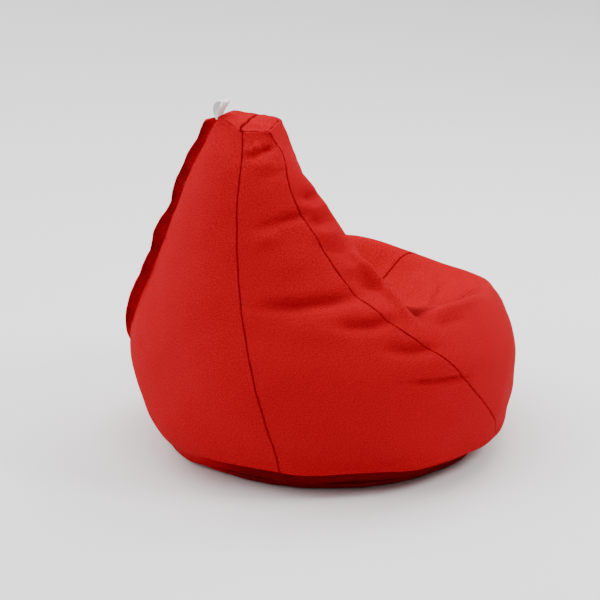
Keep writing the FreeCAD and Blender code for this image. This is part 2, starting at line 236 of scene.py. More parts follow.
def skin(angle, level, six_sided=0.0):
    """Points of the smooth bag. Angles run from the back centre to the sitter's right."""
    angle, level = (np.asarray(x, float).ravel() for x in np.broadcast_arrays(angle, level))
    radius = round_value([curve([p[0] for p in line], level) for line in LINES], angle)
    height = round_value([curve([p[1] for p in line], level) for line in LINES], angle)
    radius = radius * (1 - six_sided)
    a = np.radians(angle)
    y = curve(CENTRE, level) + radius * np.cos(a)
    return np.stack([-radius * np.sin(a), y, height], 1) + sag(angle, level)


def outward(angle, level):
    """Unit normals of the smooth bag."""
    low = np.clip(level - 0.02, 0, TOP)
    high = np.clip(level + 0.02, 0, TOP)
    around = skin(angle + 0.4, level) - skin(angle - 0.4, level)
    n = np.cross(around, skin(angle, high) - skin(angle, low))
    return n / np.linalg.norm(n, axis=1, keepdims=True)


def seam_angle(number, level):
    angles, side = SEAMS[number % 6]
    return side * curve(angles, level)


def panel_angles(number, level):
    first, second = seam_angle(number, level), seam_angle(number + 1, level)
    return first, np.where(second < first, second + 360, second)


def flatten(across, level):
    """How far a panel is pulled in towards the cap's straight edge."""
    t = smooth(level - (TOP - 1))
    corner = np.minimum(across, 1 - across) * 60
    return (1 - math.cos(math.radians(30)) / np.cos(np.radians(30 - corner))) * t


# ---------------------------------------------------------------- soft shape
# Pressed-in and pushed-out places: (path of points, width, depth). A positive depth stands out.
FOLDS = [
    # gathers under the cap's edge, at the top of the right side panel
    ([(-0.074, 0.230, 0.774), (-0.080, 0.244, 0.744)], 0.0034, -0.0032),
    ([(-0.066, 0.248, 0.772), (-0.066, 0.268, 0.738)], 0.0040, -0.0034),
    ([(-0.070, 0.239, 0.774), (-0.072, 0.257, 0.742)], 0.0036, 0.0022),
    ([(-0.077, 0.218, 0.774), (-0.086, 0.228, 0.744)], 0.0034, -0.0022),
    # slack folds across the right side panel
    ([(-0.061, 0.285, 0.722), (-0.076, 0.260, 0.730), (-0.085, 0.228, 0.742),
      (-0.083, 0.200, 0.747)], 0.0087, -0.0111),
    ([(-0.060, 0.282, 0.742), (-0.072, 0.262, 0.750), (-0.080, 0.240, 0.757)], 0.0092, 0.0052),
    ([(-0.085, 0.275, 0.705), (-0.100, 0.250, 0.712), (-0.108, 0.222, 0.720)], 0.0147, 0.0052),
    ([(-0.098, 0.268, 0.682), (-0.111, 0.236, 0.690), (-0.116, 0.205, 0.697)], 0.0101, -0.0072),
    ([(-0.095, 0.322, 0.566), (-0.120, 0.312, 0.578), (-0.146, 0.275, 0.594),
      (-0.160, 0.244, 0.604), (-0.174, 0.200, 0.612), (-0.176, 0.165, 0.616)], 0.0105, -0.0135),
    ([(-0.134, 0.310, 0.556), (-0.156, 0.286, 0.564), (-0.172, 0.255, 0.574)], 0.0138, 0.0078),
    ([(-0.150, 0.300, 0.500), (-0.190, 0.270, 0.510), (-0.215, 0.225, 0.515)], 0.0276, 0.0065),
    ([(-0.165, 0.362, 0.428), (-0.210, 0.325, 0.436), (-0.254, 0.273, 0.441),
      (-0.283, 0.213, 0.447), (-0.302, 0.130, 0.456), (-0.300, 0.090, 0.462)], 0.0160, -0.0125),
    ([(-0.240, 0.310, 0.385), (-0.290, 0.250, 0.385), (-0.325, 0.180, 0.390)], 0.0294, 0.0078),
    ([(-0.292, 0.252, 0.396), (-0.320, 0.205, 0.398), (-0.350, 0.142, 0.398),
      (-0.358, 0.085, 0.404), (-0.352, 0.055, 0.408)], 0.0140, -0.0105),
    ([(-0.352, 0.180, 0.345), (-0.375, 0.130, 0.345), (-0.400, 0.080, 0.340),
      (-0.412, 0.020, 0.338), (-0.412, -0.020, 0.336)], 0.0140, -0.0100),
    ([(-0.410, 0.140, 0.284), (-0.430, 0.060, 0.272), (-0.434, -0.026, 0.262),
      (-0.420, -0.095, 0.250)], 0.0074, -0.0097),
    ([(-0.400, 0.150, 0.240), (-0.432, 0.060, 0.235), (-0.436, -0.020, 0.228)], 0.0184, 0.0052),
    # waves down the edge of the backrest
    ([(-0.100, 0.180, 0.712), (-0.108, 0.150, 0.706), (-0.090, 0.115, 0.700)], 0.0120, -0.0059),
    ([(-0.150, 0.204, 0.645), (-0.154, 0.170, 0.642), (-0.130, 0.112, 0.633)], 0.0110, -0.0091),
    ([(-0.164, 0.201, 0.619), (-0.169, 0.165, 0.617), (-0.152, 0.108, 0.612)], 0.0110, 0.0078),
    ([(-0.178, 0.209, 0.594), (-0.184, 0.170, 0.592), (-0.170, 0.105, 0.583)], 0.0101, -0.0097),
    ([(-0.197, 0.200, 0.566), (-0.203, 0.155, 0.564), (-0.192, 0.105, 0.560)], 0.0129, 0.0084),
    ([(-0.215, 0.190, 0.535), (-0.222, 0.140, 0.532), (-0.212, 0.095, 0.530)], 0.0110, -0.0059),
    ([(-0.245, 0.165, 0.500), (-0.252, 0.110, 0.492), (-0.240, 0.060, 0.490)], 0.0147, 0.0065),
    ([(-0.270, 0.130, 0.462), (-0.285, 0.080, 0.452), (-0.280, 0.035, 0.445)], 0.0129, -0.0059),
    # creases that run over the far rim into the hollow
    ([(0.000, -0.215, 0.255), (0.003, -0.270, 0.280), (0.025, -0.315, 0.300),
      (0.050, -0.360, 0.302)], 0.0100, -0.0090),
    ([(-0.020, -0.230, 0.258), (-0.025, -0.290, 0.285), (0.000, -0.340, 0.302)], 0.015, 0.0080),
    ([(0.040, -0.225, 0.258), (0.055, -0.290, 0.288), (0.080, -0.340, 0.305)], 0.018, 0.0070),
    ([(0.150, -0.220, 0.270), (0.170, -0.280, 0.305), (0.185, -0.330, 0.322)], 0.016, -0.0060),
    ([(0.230, -0.200, 0.320), (0.265, -0.240, 0.345), (0.290, -0.270, 0.345)], 0.016, -0.0050),
    # the pinched pocket between the backrest and the right arm, with a ridge on each side
    ([(-0.356, 0.022, 0.402), (-0.322, 0.010, 0.412), (-0.270, -0.015, 0.392),
      (-0.205, -0.050, 0.335)], 0.036, -0.0360),
    ([(-0.190, 0.065, 0.510), (-0.255, 0.034, 0.446), (-0.298, 0.014, 0.416),
      (-0.342, 0.014, 0.404), (-0.380, 0.020, 0.374)], 0.020, -0.0300),
    ([(-0.215, 0.112, 0.530), (-0.248, 0.088, 0.486), (-0.280, 0.066, 0.448),
      (-0.322, 0.054, 0.420), (-0.366, 0.050, 0.388)], 0.014, 0.0190),
    ([(-0.372, 0.000, 0.386), (-0.356, -0.030, 0.396), (-0.342, -0.080, 0.394),
      (-0.318, -0.150, 0.386), (-0.272, -0.230, 0.364)], 0.014, 0.0140),
    ([(-0.338, 0.000, 0.406), (-0.318, -0.050, 0.402), (-0.294, -0.110, 0.392),
      (-0.262, -0.170, 0.374)], 0.016, -0.0180),
    ([(-0.385, -0.003, 0.368), (-0.372, -0.060, 0.374), (-0.360, -0.120, 0.364)], 0.011, -0.0060),
    ([(0.040, -0.360, 0.293), (0.010, -0.315, 0.278), (-0.012, -0.285, 0.268),
      (-0.045, -0.235, 0.258), (-0.08, -0.19, 0.255)], 0.0075, -0.0085),
    ([(-0.110, -0.250, 0.275), (-0.130, -0.310, 0.298), (-0.140, -0.350, 0.305)], 0.020, 0.0060),
    # round the foot
    ([(-0.150, 0.395, 0.085), (-0.230, 0.350, 0.083), (-0.310, 0.270, 0.085)], 0.030, 0.0050),
    ([(-0.330, 0.240, 0.092), (-0.385, 0.130, 0.090), (-0.400, 0.060, 0.096)], 0.012, -0.0040),
    ([(0.160, 0.412, 0.300), (0.112, 0.431, 0.283), (0.063, 0.442, 0.272)], 0.010, -0.0035),
    ([(0.165, 0.405, 0.255), (0.110, 0.430, 0.240), (0.050, 0.445, 0.235)], 0.022, 0.0040),
]


def near_path(points, path):
    """Distance from each point to a path of straight stretches, and the place along it."""
    path = np.array(path, float)
    lengths = np.linalg.norm(np.diff(path, axis=0), axis=1)
    best = np.full(len(points), np.inf)
    place = np.zeros(len(points))
    for i in range(len(path) - 1):
        d = path[i + 1] - path[i]
        t = np.clip((points - path[i]) @ d / (d @ d), 0, 1)
        away = np.linalg.norm(points - path[i] - t[:, None] * d, axis=1)
        closer = away < best
        best = np.where(closer, away, best)
        place = np.where(closer, (lengths[:i].sum() + t * lengths[i]) / lengths.sum(), place)
    return best, place


def folded(points):
    """How far the cloth stands out from the smooth bag in its folds."""
    height = np.zeros(len(points))
    for path, width, depth in FOLDS:
        away, place = near_path(points, path)
        fade = np.clip(np.sin(np.pi * np.clip(place, 0.005, 0.995)) * 1.15, 0, 1) ** 1.15
        height += depth * fade * np.exp(-((away / width) ** 2))
    return height


def soft_height(points):
    """Folds and a gentle unevenness together."""
    return folded(points) + uneven(points)


HEM_TUCK = 0.009  # how far the hem is drawn in under the overhang
HANG_OUT, HANG_DOWN = 0.0050, 0.0120  # where the cloth hangs down to the floor
SIDE_DROP = 0.0110  # how far the overhang drops between the right side and the front


def gathered_in(angle):
    """Where the bag bulges over its hem: 1 round the right side, 0 on the far side."""
    return smooth((np.cos(np.radians(angle - 80)) - 0.25) / 0.35)


def tucked(angle, level):
    """The overhang above the floor: a tight fold round the right side, slight elsewhere."""
    strong = gathered_in(angle)
    crease = np.exp(-(((level - 0.34) / 0.13) ** 2)) * mix(0.0, 0.027, strong)
    lip = np.exp(-(((level - 0.66) / 0.17) ** 2)) * mix(0.001, 0.008, strong)
    return lip - crease


def draped(angle, level):
    """How far the hem hangs down and out where the cloth reaches the floor."""
    place = np.cos(np.radians(angle - 80))
    loose = 1 - smooth((place - 0.05) / 0.35)
    return loose * np.exp(-((level / 0.45) ** 2))


POCKET_LINE = [(-0.200, 0.020, 0.440), (-0.290, 0.005, 0.412), (-0.375, 0.010, 0.385)]
POCKET_ROOM = 0.042  # how far the inner layers keep clear at the middle of the pocket
POCKET_WIDTH = 0.075


def pocket_room(points):
    """Extra room for the deep pocket, kept by the layers inside the cover."""
    away = near_path(points, POCKET_LINE)[0]
    return POCKET_ROOM * np.exp(-((away / POCKET_WIDTH) ** 2))


def uneven(points):
    """Slight lumps from the beads pressing on the cloth."""
    height = np.zeros(len(points))
    rng = np.random.default_rng(7)
    for wave, size in ((0.21, 0.0016), (0.13, 0.0011), (0.075, 0.0006)):
        for _ in range(5):
            d = rng.normal(size=3)
            d /= np.linalg.norm(d)
            height += size * np.sin(points @ d * 2 * math.pi / wave + rng.uniform(0, 6.28)) / 2.2
    return height


# ---------------------------------------------------------------- modelling helpers
def deselect():
    if bpy.context.object and bpy.context.object.mode != "OBJECT":
        bpy.ops.object.mode_set(mode="OBJECT")
    bpy.ops.object.select_all(action="DESELECT")


def select_only(piece):
    deselect()
    piece.select_set(True)
    bpy.context.view_layer.objects.active = piece


def add_grid(name, columns, rows):
    deselect()
    bpy.ops.mesh.primitive_grid_add(
        x_subdivisions=columns, y_subdivisions=rows, size=2, location=(0, 0, 0)
    )
    piece = bpy.context.object
    piece.name = name
    piece.data.name = name
    return piece


def coordinates(piece):
    c = np.zeros(len(piece.data.vertices) * 3)
    piece.data.vertices.foreach_get("co", c)
    return c.reshape(-1, 3)


def shape_to(piece, points):
    piece.data.vertices.foreach_set("co", np.asarray(points, float).ravel())
    piece.data.update()


def weld(piece, distance):
    """Joins points that lie on each other."""
    select_only(piece)
    bpy.ops.object.mode_set(mode="EDIT")
    bpy.ops.mesh.select_all(action="SELECT")
    bpy.ops.mesh.remove_doubles(threshold=distance)
    bpy.ops.mesh.select_all(action="DESELECT")
    bpy.ops.object.mode_set(mode="OBJECT")


def flip_faces(piece):
    select_only(piece)
    bpy.ops.object.mode_set(mode="EDIT")
    bpy.ops.mesh.select_all(action="SELECT")
    bpy.ops.mesh.flip_normals()
    bpy.ops.object.mode_set(mode="OBJECT")


def apply_modifier(piece, kind, **settings):
    select_only(piece)
    m = piece.modifiers.new(kind.title(), kind)
    for key, value in settings.items():
        setattr(m, key, value)
    bpy.ops.object.modifier_apply(modifier=m.name)


def thicken(piece, thickness):
    """Gives a sheet of cloth its thickness, on the inside."""
    apply_modifier(piece, "SOLIDIFY", thickness=thickness, offset=-1, use_even_offset=False)


def smooth_shading(piece, degrees=60):
    select_only(piece)
    bpy.ops.object.shade_smooth_by_angle(angle=math.radians(degrees))


def cloth_map(piece, across, along):
    """UV map in metres of cloth, so that the weave keeps its real size."""
    layer = piece.data.uv_layers.active or piece.data.uv_layers.new(name="Cloth")
    layer.name = "Cloth"
    corner = np.zeros(len(piece.data.loops), int)
    piece.data.loops.foreach_get("vertex_index", corner)
    uv = np.stack([across, along], 1)[corner]
    layer.data.foreach_set("uv", uv.ravel())


def paint(piece, material):
    piece.data.materials.clear()
    piece.data.materials.append(material)


# ---------------------------------------------------------------- cover panels
def even_out(t, strength=0.82):
    """Spaces the columns so that they are close together at the two edges."""
    return t - strength * np.sin(2 * math.pi * t) / (2 * math.pi)


def seam_gap(number, side, level):
    """Half the gap at a seam. The panels beside the zip stand apart."""
    beside_zip = (number == 0 and side < 0) or (number == 5 and side > 0)
    if not beside_zip:
        return np.full_like(level, 0.0001)
    open_part = np.minimum(smooth((level - 4) / 0.45 + 0.5), smooth((7.15 - level) / 0.3 + 0.5))
    return mix(0.0001, ZIP_SLOT, open_part)


def edge_dip(distance, roll):
    """Depth of a panel's rounded edge at a distance from its seam."""
    inside = np.clip(roll - distance, 0, roll)
    return roll - np.sqrt(np.maximum(roll * roll - inside * inside, 0))


def puckers(place, distance):
    """Small pulls of the stitching that fade away from the seam."""
    wave = np.sin(place * 260) * 0.5 + np.sin(place * 151 + 1.3) * 0.6 + np.sin(place * 67 + 0.4)
    return 0.0007 * wave * np.exp(-distance / 0.012)


def panel_places(number, u, v):
    """Angle and distance from both seams for a panel's own coordinates."""
    first, second = panel_angles(number, v)
    a = skin(first, v, 0)
    b = skin(second, v, 0)
    width = np.linalg.norm(a - b, axis=1)
    left = seam_gap(number, -1, v)
    right = seam_gap(number, 1, v)
    across = mix(left / width, 1 - right / width, u)
    return mix(first, second, across), across, width


def panel_surface(number, u, v, depth=0.0, rolled=True):
    """Points of a cover or liner panel: u across it from 0 to 1, v from the hem to the cap."""
    angle, across, width = panel_places(number, u, v)
    base = skin(angle, v, flatten(across, v))
    n = outward(angle, v)
    along = panel_length(number, v)
    height = soft_height(base) + tucked(angle, v) - depth
    if depth:
        height = height - pocket_room(base)
    if rolled:
        to_seam = np.minimum(u, 1 - u) * width
        to_end = np.minimum(along, panel_length(number, np.array([TOP]))[0] - along)
        at_cap = smooth(v - TOP + 1)
        height = height + puckers(along + 0.37 * number, to_seam)
        height = height - edge_dip(to_seam, EDGE_ROLL)
        height = height - (1 + 0.6 * at_cap) * edge_dip(to_end, EDGE_ROLL)
        hang = draped(angle, v)[:, None]
        away = base * [1, 1, 0] / np.linalg.norm(base[:, :2], axis=1)[:, None]
        base = base + hang * (away * HANG_OUT - np.array([0, 0, HANG_DOWN]))
        beside_front = smooth((angle - 55) / 60) * (1 - smooth((angle - 150) / 30))
        low = beside_front * np.exp(-(((v - 0.5) / 0.35) ** 2))
        base = base - np.array([0, 0, SIDE_DROP]) * low[:, None]
        base = base - away * (HEM_TUCK * gathered_in(angle) * np.exp(-((v / 0.30) ** 2)))[:, None]
    return base + n * height[:, None], along, (across - 0.5) * width


LENGTH_LEVELS = np.linspace(0, TOP, 181)
LENGTHS = {}


def panel_length(number, v):
    """Length along the middle of a panel from the hem, in metres."""
    if number not in LENGTHS:
        first, second = panel_angles(number, LENGTH_LEVELS)
        p = skin((first + second) / 2, LENGTH_LEVELS)
        steps = np.linalg.norm(np.diff(p, axis=0), axis=1)
        LENGTHS[number] = np.concatenate([[0], np.cumsum(steps)])
    return np.interp(v, LENGTH_LEVELS, LENGTHS[number])


def level_spacing(t):
    """Even steps along the panel, with closer rows at the hem and at the cap."""
    return even_out(t, 0.55) * TOP


def store_painted_shade(piece, values):
    """Stores painted shade on the points, 0 to 1: the cloth's colour is darkened there, deep in a
    fold, where shade falls.
    """
    layer = piece.data.attributes.new("PaintedShade", "FLOAT", "POINT")
    layer.data.foreach_set("value", np.clip(values, 0, 1))


# Painted shade on a panel: its colour is darkened in the fold creases, under the overhang round the
# right side at the hem, and in the groove along each seam.
def panel_painted_shade(number, u, v):
    angle, across, width = panel_places(number, u, v)
    base = skin(angle, v, flatten(across, v))
    shade_under_lip = 0.9 * gathered_in(angle) * (1 - smooth((v - 0.30) / 0.22))
    to_seam = np.minimum(u, 1 - u) * width
    seam_shade = 0.40 * np.exp(-((to_seam / 0.0022) ** 2))
    crease_shade = np.clip((-folded(base) - 0.002) / 0.028, 0, 0.80)
    return np.maximum(np.maximum(crease_shade, shade_under_lip), seam_shade)


def make_panel(number, name):
    piece = add_grid("cover_" + name, 84, 190)
    c = coordinates(piece)
    u = even_out((c[:, 0] + 1) / 2)
    v = level_spacing((c[:, 1] + 1) / 2)
    points, along, across = panel_surface(number, u, v)
    shape_to(piece, points)
    store_painted_shade(piece, panel_painted_shade(number, u, v))
    cloth_map(piece, across, along)
    thicken(piece, CLOTH)
    smooth_shading(piece)
    paint(piece, RED_CLOTH)
    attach(piece, "bag")
    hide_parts("cover_panel_" + name)


def make_liner_panel(number, name):
    piece = add_grid("liner_" + name, 20, 60)
    c = coordinates(piece)
    u = 0.0015 + 0.997 * (c[:, 0] + 1) / 2
    v = (c[:, 1] + 1) / 2 * TOP * 0.995 + 0.02
    points, along, across = panel_surface(number, u, v, depth=0.0130, rolled=False)
    shape_to(piece, points)
    cloth_map(piece, across, along)
    thicken(piece, LINER)
    smooth_shading(piece)
    paint(piece, LINER_CLOTH)
    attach(piece, "bag")
    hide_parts("liner_panel_" + name)


# ---------------------------------------------------------------- base, filling, cap
def dish_points(radius, turn, off):
    """Round base: flat on the floor, then turned up to the hem."""
    wide = HEM_RADIUS - FOOT_RADIUS - off
    tall = HEM_HEIGHT - off
    flat = radius * FOOT_RADIUS
    r = np.where(turn > 0, FOOT_RADIUS + wide * np.sin(turn), flat)
    z = np.where(turn > 0, HEM_HEIGHT - tall * np.cos(turn), off)
    return r, z


def make_base(name, node, depth, material):
    """A disc with rings, its outer rings turned up to the hem."""
    rings = 26
    piece = add_grid(name, 180, rings)
    c = coordinates(piece)
    a = (c[:, 0] + 1) * math.pi
    t = (c[:, 1] + 1) / 2
    turn = np.clip((t - 0.5) / 0.44, 0, 1) * math.pi / 2
    r, z = dish_points(np.clip(t / 0.5, 0.004, 1), turn, depth)
    behind = np.clip((t - 0.94) / 0.06, 0, 1)
    r = r - 0.004 * smooth(behind * 3)
    z = z + 0.007 * behind
    around = np.degrees(np.arctan2(-np.sin(a), np.cos(a)))
    r = r - HEM_TUCK * gathered_in(around) * np.sin(turn) ** 2
    if depth == 0:
        wave = 0.0012 * np.sin(a * 9 + 0.6) + 0.0010 * np.sin(a * 17 + 2.0)
        wave = wave + 0.0008 * np.sin(a * 31)
        lift = np.sin(turn) * np.cos(turn) * 2
        r = r - edge_dip((1 - turn / (math.pi / 2)) * 0.045, 0.003) + wave * lift
        z = z - edge_dip((1 - turn / (math.pi / 2)) * 0.045, 0.003) * 0.2
    shape_to(piece, np.stack([r * np.sin(a), r * np.cos(a), z], 1))
    # Painted shade on the turned-up rim of the base, full under the overhang round the right side.
    store_painted_shade(piece, 0.9 * gathered_in(around) * smooth(turn))
    cloth_map(piece, r * np.sin(a), r * np.cos(a) + turn * 0.04)
    weld(piece, SAME_POINT)
    close_middle(piece)
    thicken(piece, CLOTH if depth == 0 else LINER)
    smooth_shading(piece)
    paint(piece, material)
    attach(piece, "bag")
    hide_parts(node)


def close_middle(piece, upward=False):
    """Fills the small hole at the centre of a disc and turns its faces up or down."""
    c = coordinates(piece)
    inner = np.hypot(c[:, 0] - c[:, 0].mean(), c[:, 1] - c[:, 1].mean())
    near = inner < inner.min() * 1.5
    for vertex, chosen in zip(piece.data.vertices, near):
        vertex.select = bool(chosen)
    bpy.ops.object.mode_set(mode="EDIT")
    bpy.ops.mesh.edge_face_add()
    bpy.ops.mesh.select_all(action="SELECT")
    bpy.ops.mesh.normals_make_consistent(inside=False)
    bpy.ops.object.mode_set(mode="OBJECT")
    if (sum(p.normal.z * p.area for p in piece.data.polygons) < 0) == upward:
        flip_faces(piece)


def make_filling():
    """The beads as one plump closed form inside the liner."""
    piece = add_grid("foam_bead_filling", 120, 90)
    c = coordinates(piece)
    a = (c[:, 0] + 1) * 180
    t = (c[:, 1] + 1) / 2
    v = np.clip((t - 0.12) / 0.80, 0, 1) * (TOP - 0.25) + 0.12
    base = skin(a, v)
    n = outward(a, v)
    points = base + n * (soft_height(base) - 0.018 - 1.15 * pocket_room(base))[:, None]
    low = t < 0.12
    shrink = np.clip(t / 0.12, 0, 1) ** 0.5
    points[low, 0] *= shrink[low]
    points[low, 1] *= shrink[low]
    points[low, 2] = mix(0.006, points[low, 2], np.clip(t[low] / 0.12, 0, 1) ** 2)
    high = t > 0.92
    close = np.sqrt(np.clip((1 - t) / 0.08, 0, 1))
    points[high, 0] *= close[high]
    points[high, 1] = CAP_BACK + (points[high, 1] - CAP_BACK) * close[high]
    points[high, 2] = mix(CAP_TOP - 0.014, points[high, 2], close[high] ** 2)
    shape_to(piece, points)
    select_only(piece)
    bpy.ops.object.mode_set(mode="EDIT")
    bpy.ops.mesh.select_all(action="SELECT")
    bpy.ops.mesh.remove_doubles(threshold=0.0002)
    bpy.ops.mesh.normals_make_consistent(inside=False)
    bpy.ops.object.mode_set(mode="OBJECT")
    smooth_shading(piece)
    paint(piece, BEADS)
    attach(piece, "bag")
    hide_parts("bead_filling")


def cap_corner(angle, radius):
    a = math.radians(angle)
    return np.array([-radius * math.sin(a), CAP_BACK + radius * math.cos(a)])


def cap_surface(s, t, turned, drop=0.0):
    """Half of the sagging six-sided cap: s along the long seam, t from that seam to the rim."""
    p = [cap_corner(30 + turned + 60 * i, CAP_RADIUS - 0.0002) for i in range(4)]
    long_side = mix(p[0][None], p[3][None], s[:, None])
    short_side = mix(p[1][None], p[2][None], s[:, None])
    xy = mix(long_side, short_side, t[:, None])
    deep = CAP_RADIUS * math.cos(math.radians(30))
    to_middle = t * deep
    to_short = (1 - t) * deep
    wide = np.linalg.norm(mix(p[3] - p[0], p[2] - p[1], t[:, None]), axis=1)
    to_ends = np.minimum(s, 1 - s) * wide * math.cos(math.radians(30))
    to_rim = np.minimum(to_short, to_ends)
    away = xy - np.array([0, CAP_BACK])
    angle = np.degrees(np.arctan2(-away[:, 0], away[:, 1]))
    out = np.clip(np.linalg.norm(away, axis=1) / CAP_RADIUS, 0, 1)[:, None]
    rim_move = sag(angle, np.full(len(angle), TOP))
    move = mix(np.mean(SAG[:6], axis=0)[None], rim_move, smooth(out * 1.15))
    z = CAP_TOP - 0.004 + 0.0075 * smooth(to_rim / 0.030) - 0.002 * smooth(to_rim / 0.06)
    z = z - 2.0 * edge_dip(to_rim, 0.0060) - 1.8 * edge_dip(to_middle, 0.0030) - drop
    lumps = 0.0012 * np.sin(away[:, 0] * 150 + 1) * np.sin(away[:, 1] * 120)
    from_corner = s if turned == 0 else 1 - s
    ruck = 0.0007 * np.sin(from_corner * 21 + 0.5) * np.exp(-to_middle / 0.010)
    ruck = ruck + 0.0008 * np.sin(s * 26) * np.exp(-to_rim / 0.012)
    hook = 0.010 * np.exp(-(((from_corner - 0.12) / 0.10) ** 2)) * np.exp(-to_middle / 0.02)
    points = np.column_stack([xy, z + lumps + ruck])
    points += hook[:, None] * np.array([0.6, 0.8, 0])
    return points + move, to_middle, s * wide


def cap_painted_shade(s, t):
    """Painted shade, only right at the seams of the cap: the long one across it, and its rim."""
    deep = CAP_RADIUS * math.cos(math.radians(30))
    to_rim = np.minimum((1 - t) * deep, np.minimum(s, 1 - s) * CAP_RADIUS * (2 - t))
    return 0.9 * np.exp(-((t * deep / 0.0035) ** 2)) + 0.9 * np.exp(-((to_rim / 0.0035) ** 2))


def make_cap_half(name, node, turned):
    piece = add_grid(name, 90, 56)
    c = coordinates(piece)
    s = even_out((c[:, 0] + 1) / 2)
    t = even_out((c[:, 1] + 1) / 2)
    points, up, across = cap_surface(s, t, turned)
    shape_to(piece, points)
    store_painted_shade(piece, cap_painted_shade(s, t))
    cloth_map(piece, across, up)
    turn_up(piece)
    thicken(piece, CLOTH)
    smooth_shading(piece)
    paint(piece, RED_CLOTH)
    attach(piece, "bag")
    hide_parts(node)


def make_liner_cap():
    """Six-sided top of the liner, just under the cap."""
    piece = add_grid("liner_top", 60, 12)
    c = coordinates(piece)
    a = (c[:, 0] + 1) * 180
    t = np.clip((c[:, 1] + 1) / 2, 0.01, 1)
    from_corner = np.minimum((a - 30) % 60, 60 - (a - 30) % 60)
    flat_side = (CAP_RADIUS - 0.016) * math.cos(math.radians(30))
    rim = flat_side / np.cos(np.radians(30 - from_corner))
    r = rim * t
    x, y = -r * np.sin(np.radians(a)), CAP_BACK + r * np.cos(np.radians(a))
    move = mix(np.mean(SAG[:6], axis=0)[None], sag(a, np.full(len(a), TOP)), smooth(t)[:, None])
    points = np.column_stack([x, y, CAP_TOP - 0.017 + 0.003 * (1 - t)]) + move
    shape_to(piece, points)
    cloth_map(piece, x, y)
    weld(piece, SAME_POINT)
    close_middle(piece, upward=True)
    thicken(piece, LINER)
    smooth_shading(piece)
    paint(piece, LINER_CLOTH)
    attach(piece, "bag")
    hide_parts("liner_cap")


def turn_up(piece):
    """Makes an open sheet face upward."""
    if sum(p.normal.z * p.area for p in piece.data.polygons) < 0:
        flip_faces(piece)


# ---------------------------------------------------------------- flap and label
def beside_zip(offset, level):
    """Points and outward directions beside the zip's seam, offset metres towards the back panel."""
    seam = seam_angle(0, level)
    p = skin(seam, level)
    radius = np.hypot(p[:, 0], p[:, 1] - curve(CENTRE, level))
    angle = seam + np.degrees(offset / radius)
    base = skin(angle, level)
    n = outward(angle, level)
    down = skin(angle, level - 0.02) - skin(angle, level + 0.02)
    down /= np.linalg.norm(down, axis=1, keepdims=True)
    side = np.cross(n, down)
    toward = skin(angle + 1, level) - base
    side *= np.sign((side * toward).sum(1))[:, None]
    return base + n * soft_height(base)[:, None], n, side


ZIP_LOW, ZIP_HIGH = 4.35, 6.9
ZIP_ENDS = [skin(seam_angle(0, np.array([level])), level)[0] for level in (ZIP_LOW, ZIP_HIGH)]
# How far the flap stands out at each level, in millimetres, from its lower end to the cap.
FLAP_LEVELS = [
    2.20, 2.45, 2.87, 3.33, 3.82, 4.20, 4.67, 5.20, 5.68,
    6.15, 6.56, 6.85, 7.26, 7.77, 8.30, 8.62, 8.86,
]
FLAP_HEIGHTS = [
    1.0, 8.0, 17.0, 21.5, 24.5, 21.0, 19.5, 27.0, 21.0,
    15.0, 19.5, 24.0, 20.5, 21.0, 19.5, 17.0, 5.0,
]
FLAP_SPLIT = 5.68
FLAP_ROOT = -0.0120  # from the zip to the sewn edge of the flap, towards the side panel
TAPE_EDGES = (0.0006, 0.0125)  # from the middle of the zip to each long edge of a tape
TAPE_LEVELS = (4.02, 7.25)
FLAP_STANDS = math.radians(60)


def flap_points(ring, level):
    """Section of the puffy flap. ring runs once round the doubled cloth, from 0 to 1."""
    height = np.interp(level, FLAP_LEVELS, FLAP_HEIGHTS) / 1000
    wide = np.maximum(height - 0.0008, 0.0006) / math.sin(FLAP_STANDS)
    base, n, side = beside_zip(np.full_like(level, FLAP_ROOT), level)
    x = (1 - np.cos(2 * math.pi * ring)) / 2
    belly = np.sin(math.pi * x) ** 0.8
    thick = 0.0038 * np.minimum(wide / 0.012, 1) * np.sin(2 * math.pi * ring) * (0.75 + 0.5 * x)
    ripple = 0.0022 * np.sin(level * 9.0 + 1.0) + 0.0016 * np.sin(level * 17.0)
    puffed = (0.0092 + 0.7 * ripple) * belly * np.minimum(wide / 0.02, 1)
    lift = 0.0012 + puffed + 0.0030 * x * np.sin(level * 6.1)
    across = wide * x
    tall = lift + thick
    c, s_ = math.cos(FLAP_STANDS), math.sin(FLAP_STANDS)
    u = across * c - tall * s_ + 0.0060 * (1 - x) ** 2
    w = across * s_ + tall * c - 0.0150 * (1 - x) ** 3
    return base + side * u[:, None] + n * w[:, None], across


def make_flap(name, nodes, first, last, start, end):
    piece = add_grid(name, 40, 150)
    c = coordinates(piece)
    ring = (c[:, 0] + 1) / 2
    t = (c[:, 1] + 1) / 2
    level = mix(first, last, t)
    points, across = flap_points(ring, level)
    shape_to(piece, points)
    cloth_map(piece, across, level * 0.09)
    weld(piece, SAME_POINT)
    close_ends(piece)
    smooth_shading(piece, 70)
    paint(piece, RED_CLOTH)
    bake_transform(piece)
    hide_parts(*nodes)


def close_ends(piece):
    """Fills every open ring of a piece and turns its faces outward."""
    select_only(piece)
    bpy.ops.object.mode_set(mode="EDIT")
    bpy.ops.mesh.select_all(action="DESELECT")
    bpy.ops.mesh.select_mode(type="VERT")
    bpy.ops.mesh.select_non_manifold(extend=False)
    bpy.ops.mesh.edge_face_add()
    bpy.ops.mesh.select_all(action="SELECT")
    bpy.ops.mesh.normals_make_consistent(inside=False)
    bpy.ops.object.mode_set(mode="OBJECT")


